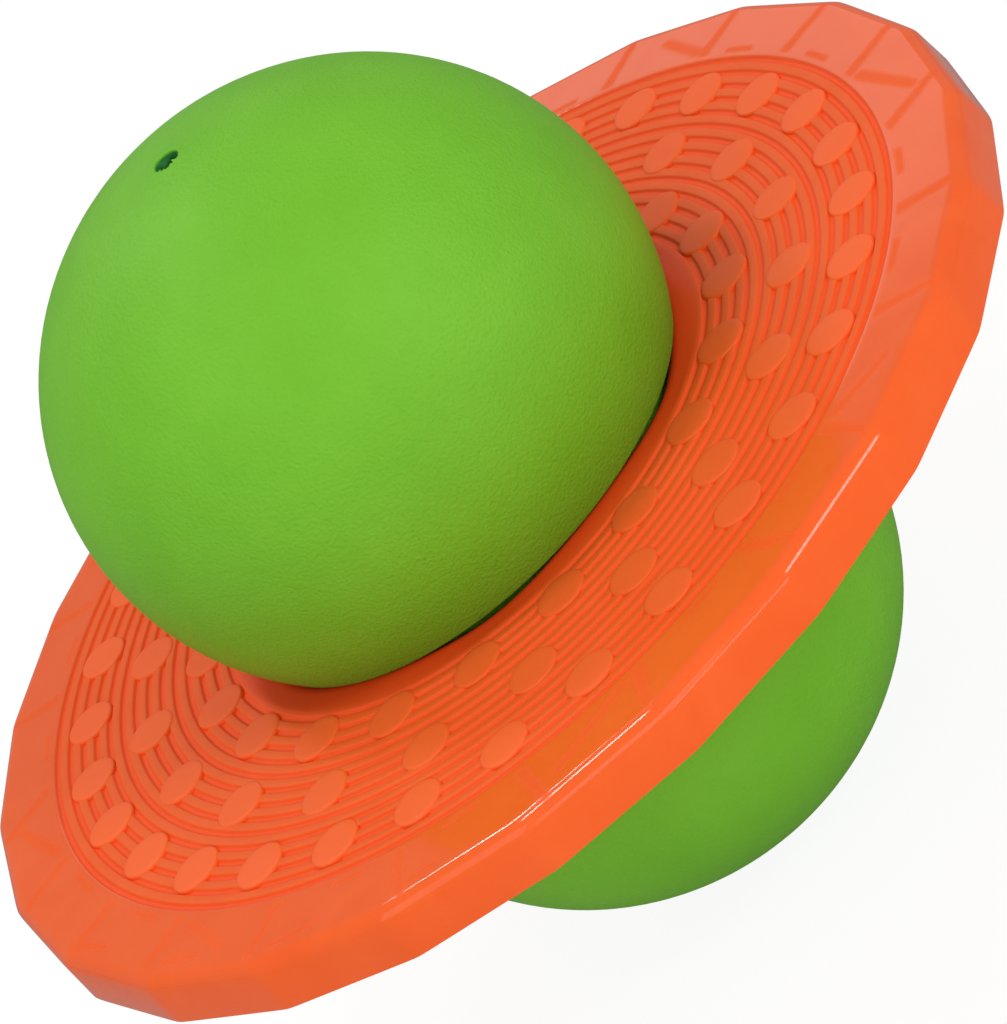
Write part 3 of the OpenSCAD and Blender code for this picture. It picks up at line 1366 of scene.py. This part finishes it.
            # Painted sheen: the pads' tops are painted paler, more so ring by ring outwards
            pale = [sheen_level * smoothstep(0.9, 1.45, v.co.z / MM) for v in first.data.vertices]
            for k in range(count):
                copy = copy_of(first)
                note(copy, "crest", pale)
                spin = spin_by(turn + k * 360 / count)
                place = spin @ Vector((r, 0, top - middle)) * MM
                reshape(copy, lambda v, s=spin, p=place: s @ (lean @ v) + p)
                copies.append(copy)
        bpy.data.objects.remove(first)
        return copies

    def ribs(self) -> list[bpy.types.Object]:
        """Models the radial and the ring-shaped ribs underneath.

        Returns:
            The ribs, with their places in their meshes.
        """
        low = self.neck_z - self.half_h + self.rib_lift
        high = self.neck_z + self.grip_low - 0.6 * self.skin
        made: list[bpy.types.Object] = []
        start = self.nose_in_r + 2 * self.nose_r
        end = self.corner_r - self.crease_in - self.skirt_t / 2
        middle = ((start + end) / 2, 0.0, (low + high) / 2)
        first = cuboid((end - start, self.rib_t, high - low), middle)
        pick(first, Part.EDGES, lambda place: abs(place.z - low * MM) < 1e-5)
        bpy.ops.mesh.bevel(offset=0.7 * MM, segments=3, profile=0.5)
        close_edit()
        # A radial rib stands under every second corner of the rim
        for k in range(0, self.sides, 2):
            copy = copy_of(first)
            spin = spin_by(self.rim_turn + k * self.side_degrees())
            reshape(copy, lambda v, s=spin: s @ v)
            made.append(copy)
        bpy.data.objects.remove(first)
        w = self.rib_t / 2
        for ring in self.rib_rings:
            r = self.groove_at(ring)
            section = [
                (r - w, low + 0.4, 0.6),
                (r + w, low + 0.4, 0.6),
                (r + w, high, 0),
                (r - w, high, 0),
            ]
            made.append(lathe("rib_ring", rounded(section, closed=True), 144, closed=True))
        return made

    def build(self) -> bpy.types.Object:
        """Models the deck's parts and joins them into one moulding.

        Returns:
            The deck.
        """
        parts = [self.grip_ring(), self.rim_ring(), *self.pads(), *self.ribs()]
        deck = join("deck_moulding", parts)
        smooth(deck, 35)
        return deck

    def dress(self, deck: bpy.types.Object, finish: MouldedPolypropylene) -> None:
        """Gives the deck its finish and ties it to its body.

        Args:
            deck: The modelled deck.
            finish: The deck's finish.
        """
        deck.data.materials.append(finish.material())
        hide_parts("deck")
        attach(deck, "deck")


@dataclass
class Valve:
    """The valve seat that is welded inside the ball, and the plug that closes it.

    Attributes:
        ball: The ball, which gives the valve's place and the hole that shows.
        hole_h: Depth of that hole down to the plug's seat.
        bore_r: Radius of the bore that holds the plug.
        seat_r: Radius of the seat's neck in the ball's wall.
        flange_r: Radius of the flange under the wall.
        tube_r: Radius of the tube inside the ball.
        tube_h: Depth of the tube's end.
        fit: Room between the plug's shank and the bore.
        head_h: Height of the plug's head.
        head_in: Room between the plug's head and the hole.
        plug_len: Length of the plug below its head.
        rings: How many rings the plug's shank has.
        ring_pitch: Distance from one ring to the next.
        slot: Length, width and height of the tool that cuts the pry slot.
    """

    ball: Ball
    hole_h: float = 5.0
    bore_r: float = 2.8
    seat_r: float = 8.0
    flange_r: float = 13.0
    tube_r: float = 5.8
    tube_h: float = 18.0
    fit: float = 0.1
    head_h: float = 2.0
    head_in: float = 0.2
    plug_len: float = 13.0
    rings: int = 4
    ring_pitch: float = 2.4
    slot: Corner = (4.4, 1.1, 1.6)

    def place(self, obj: bpy.types.Object) -> None:
        """Moves a piece that was turned about the world's axis to the valve."""
        spot, turn = self.ball.valve_axes()
        reshape(obj, lambda v: spot + turn @ v)

    def build_seat(self) -> bpy.types.Object:
        """Models the seat: a stepped, rounded bush with a bore.

        Returns:
            The seat.
        """
        hole_r = self.ball.hole_r
        corners = [
            (hole_r, -self.hole_h, 0.4),
            (hole_r, -0.35, 0.1),
            (hole_r + 0.3, -0.5, 0.1),
            (hole_r + 0.4, -1.35, 0.1),
            (self.seat_r - 0.6, -1.35, 0.3),
            (self.seat_r - 0.6, -3.7, 0.3),
            (self.flange_r, -4.3, 0.4),
            (self.flange_r, -6.2, 0.6),
            (self.tube_r + 0.8, -6.6, 0.8),
            (self.tube_r, -self.tube_h, 0.8),
            (self.bore_r, -self.tube_h, 0.5),
            (self.bore_r, -self.hole_h, 0.3),
        ]
        seat = lathe("seat_bush", rounded(corners, closed=True, steps=3), 64, closed=True)
        self.place(seat)
        smooth(seat, 40)
        return seat

    def build_plug(self) -> bpy.types.Object:
        """Models the plug: a domed head with a pry slot and a ringed, tapered shank.

        Returns:
            The plug.
        """
        top = -self.hole_h + self.head_h
        under = -self.hole_h + 0.05
        head = self.ball.hole_r - self.head_in
        shank = self.bore_r - self.fit
        corners: list[Corner] = [(0.0, top, 0), (2.2, top, 0), (head, top - 0.35, 0.4)]
        corners += [(head, under, 0.25), (shank, under, 0.15)]
        for k in range(self.rings):
            z = -self.hole_h - 2.0 - self.ring_pitch * k
            corners += [(shank, z, 0.2), (shank - 0.45, z - 0.6, 0.3), (shank, z - 1.2, 0.2)]
        low = -self.hole_h - self.plug_len
        corners += [(shank, low + 1.2, 0.4), (shank - 0.9, low, 0.4), (0.0, low, 0)]
        plug = lathe("plug_stopper", rounded(corners, closed=False, steps=3), 48, closed=False)
        tool = cuboid(self.slot, (0.0, 0.0, top))
        close_edit()
        take(plug)
        cut = plug.modifiers.new("slot", "BOOLEAN")
        cut.object = tool
        cut.operation = "DIFFERENCE"
        cut.solver = "EXACT"
        bpy.ops.object.modifier_apply(modifier=cut.name)
        bpy.data.objects.remove(tool)
        self.place(plug)
        smooth(plug, 40)
        return plug

    def dress(
        self,
        seat: bpy.types.Object,
        plug: bpy.types.Object,
        rubber: GrainedVinyl,
        moulded: MouldedPolypropylene,
    ) -> None:
        """Gives seat and plug their finishes and ties them to their bodies.

        Args:
            seat: The modelled seat.
            plug: The modelled plug.
            rubber: The seat's finish.
            moulded: The plug's finish.
        """
        seat.data.materials.append(rubber.material())
        plug.data.materials.append(moulded.material())
        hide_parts("valve_seat")
        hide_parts("valve_plug")
        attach(seat, "upper_ball")
        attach(plug, "valve_plug")


@dataclass(frozen=True)
class SoftBox:
    """One lamp of the studio.

    Attributes:
        name: The lamp's name.
        place: Where it hangs, in metres.
        size: Its two sides, in metres.
        power: Its power, in watts.
        aim: The point that it faces, in metres.
    """

    name: str
    place: Corner
    size: Point
    power: float
    aim: Corner = (0.0, 0.0, 0.15)

    def hang(self) -> None:
        """Hangs the lamp."""
        data = bpy.data.lights.new(self.name, "AREA")
        data.shape = "RECTANGLE"
        data.size, data.size_y = self.size
        data.energy = self.power
        aimed(self.name, data, self.place, self.aim).visible_camera = False


LAMPS: tuple[SoftBox, ...] = (
    SoftBox("back_strip", (-0.475, 0.933, 1.49), (0.24, 0.17), 4.1),
    SoftBox("overhead", (-0.323, -0.028, 1.819), (0.24, 0.19), 4.4),
    SoftBox("front_right", (1.214, -0.882, 0.948), (0.5, 0.4), 6.7),
    SoftBox("front_left", (-0.895, -1.067, 1.125), (1.0, 1.0), 3.5),
    SoftBox("front", (0.157, -1.8, 0.737), (1.0, 0.7), 4.5),
    SoftBox("low_fill", (0.85, -1.6, 0.16), (0.7, 0.25), 2.0),
    SoftBox("back_sheen", (0.05, 1.68, 0.86), (0.8, 0.45), 0.75),
)


@dataclass
class Studio:
    """The pale floor, the soft light and the camera at the photograph's viewing angle.

    Attributes:
        lens: Focal length, in millimetres.
        sensor: Width of the sensor, in millimetres.
        stand: Where the camera stands, in metres.
        aim: The point in the middle of the picture, in metres.
        roll: Turn of the camera about its own axis, in degrees.
        world: Strength of the even light from all round.
        mirrored: Strength at which it shows in reflections, where a studio has dark corners.
        floor_seen: How far the camera sees the floor as plain white, from 0 to 1.
        floor_shown: How far reflections show it as plain white.
        floor_white: Strength of that white for the camera.
        floor_mirrored: Strength of it in reflections.
    """

    lens: float = 176.341
    sensor: float = 36.0
    stand: Corner = (0.27588, -1.31281, 0.8073)
    aim: Corner = (0.00494, -0.0231, 0.1435)
    roll: float = -45.84
    world: float = 0.58
    mirrored: float = 0.36
    floor_seen: float = 0.87
    floor_shown: float = 0.85
    floor_white: float = 1.04
    floor_mirrored: float = 0.2

    def camera(self) -> None:
        """Sets up the camera."""
        data = bpy.data.cameras.new("camera")
        data.lens = self.lens
        data.sensor_width = self.sensor
        data.clip_start, data.clip_end = 0.05, 50
        bpy.context.scene.camera = aimed("camera", data, self.stand, self.aim, self.roll)

    def floor(self) -> None:
        """Lays the floor: matte white paper that keeps a soft shadow and looks white."""
        deselect_all()
        bpy.ops.mesh.primitive_plane_add(size=30)
        floor = bpy.context.object
        floor.name = "floor"
        paper = bpy.data.materials.new("white_paper_floor")
        paper.use_nodes = True
        tree = paper.node_tree
        node = partial(add_node, tree)
        shader = tree.nodes["Principled BSDF"]
        feed(tree, shader, {"Base Color": linear("#F2F2F2"), "Roughness": 0.9})
        path = node("ShaderNodeLightPath").outputs
        mirrored = node(
            "ShaderNodeMath",
            {0: path["Is Glossy Ray"], 1: path["Is Transmission Ray"]},
            operation="MAXIMUM",
        ).outputs[0]
        part = node("ShaderNodeMath", {0: mirrored, 1: self.floor_shown}, operation="MULTIPLY")
        share = node(
            "ShaderNodeMath",
            {0: path["Is Camera Ray"], 1: self.floor_seen, 2: part.outputs[0]},
            operation="MULTIPLY_ADD",
        )
        level = node(
            "ShaderNodeMapRange",
            {"Value": mirrored, "To Min": self.floor_white, "To Max": self.floor_mirrored},
        )
        white = node(
            "ShaderNodeEmission",
            {"Color": (1, 1, 1, 1), "Strength": level.outputs["Result"]},
        )
        mix = node(
            "ShaderNodeMixShader",
            {0: share.outputs[0], 1: shader.outputs[0], 2: white.outputs[0]},
        )
        feed(tree, tree.nodes["Material Output"], {"Surface": mix.outputs[0]})
        floor.data.materials.append(paper)

    def light(self) -> None:
        """Hangs the lamps and sets the even light from all round."""
        world = bpy.data.worlds.new("studio")
        bpy.context.scene.world = world
        world.use_nodes = True
        tree = world.node_tree
        path = add_node(tree, "ShaderNodeLightPath").outputs
        unseen = add_node(
            tree,
            "ShaderNodeMapRange",
            {"Value": path["Is Glossy Ray"], "To Min": self.world, "To Max": self.mirrored},
        )
        level = add_node(
            tree,
            "ShaderNodeMath",
            {0: path["Is Camera Ray"], 1: unseen.outputs["Result"]},
            operation="MAXIMUM",
        )
        shown = {"Color": (1, 1, 1, 1), "Strength": level.outputs[0]}
        feed(tree, tree.nodes["Background"], shown)
        for lamp in LAMPS:
            lamp.hang()

    def build(self) -> None:
        """Sets up camera, floor and light, with colours shown as they are."""
        self.camera()
        self.floor()
        self.light()
        bpy.context.scene.view_settings.view_transform = "Standard"


# Soft PVC takes up pigment evenly: one lively green with slight clouding and a fine grain
BALL_VINYL = GrainedVinyl("soft_pvc_leather_grain", bright="#72B92B", deep="#69B121")
# The seat is the same PVC, cast smooth, and a shade darker because no light reaches into it
SEAT_VINYL = GrainedVinyl(
    "soft_pvc_valve_seat", bright="#3E9448", deep="#1C5A2C", grain=0.8, lift=0.03, mottle=2.2
)
# Orange polypropylene: saturated, with a clear gloss on margin and skirt and a satin grip
DECK_PLASTIC = MouldedPolypropylene(
    "moulded_polypropylene_orange",
    bright="#F06127",
    deep="#EC5B20",
    # Painted shade, laid into the grooves, the collar, the pads' feet and the marks
    hollow="#FC4C1A",
    # Painted sheen on the pads' tops
    painted_sheen="#FC6933",
    satin_r=162.0,
)
# The plug is a small moulding of the same plastic in dark green, with a duller gloss
PLUG_PLASTIC = MouldedPolypropylene(
    "moulded_polypropylene_green",
    bright="#2A7A45",
    deep="#0F4A26",
    hollow="#0F4A26",
    painted_sheen="#2A7A45",
    flow=2.2,
    ripple=1.5,
    gloss=0.4,
)


def main() -> None:
    """Builds the studio and the pieces in order."""
    logging.basicConfig(level=logging.INFO, format="%(name)s %(relativeCreated)d: %(message)s")
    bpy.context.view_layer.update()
    Studio().build()
    ball = Ball()
    skin = ball.build()
    ball.dress(skin, BALL_VINYL)
    LOG.info("ball has %d faces", len(skin.data.polygons))
    deck = Deck()
    moulding = deck.build()
    deck.dress(moulding, DECK_PLASTIC)
    LOG.info("deck has %d faces", len(moulding.data.polygons))
    valve = Valve(ball)
    seat, plug = valve.build_seat(), valve.build_plug()
    valve.dress(seat, plug, SEAT_VINYL, PLUG_PLASTIC)
    LOG.info("seat has %d faces, plug has %d", len(seat.data.polygons), len(plug.data.polygons))


if __name__ == "__main__":
    main()
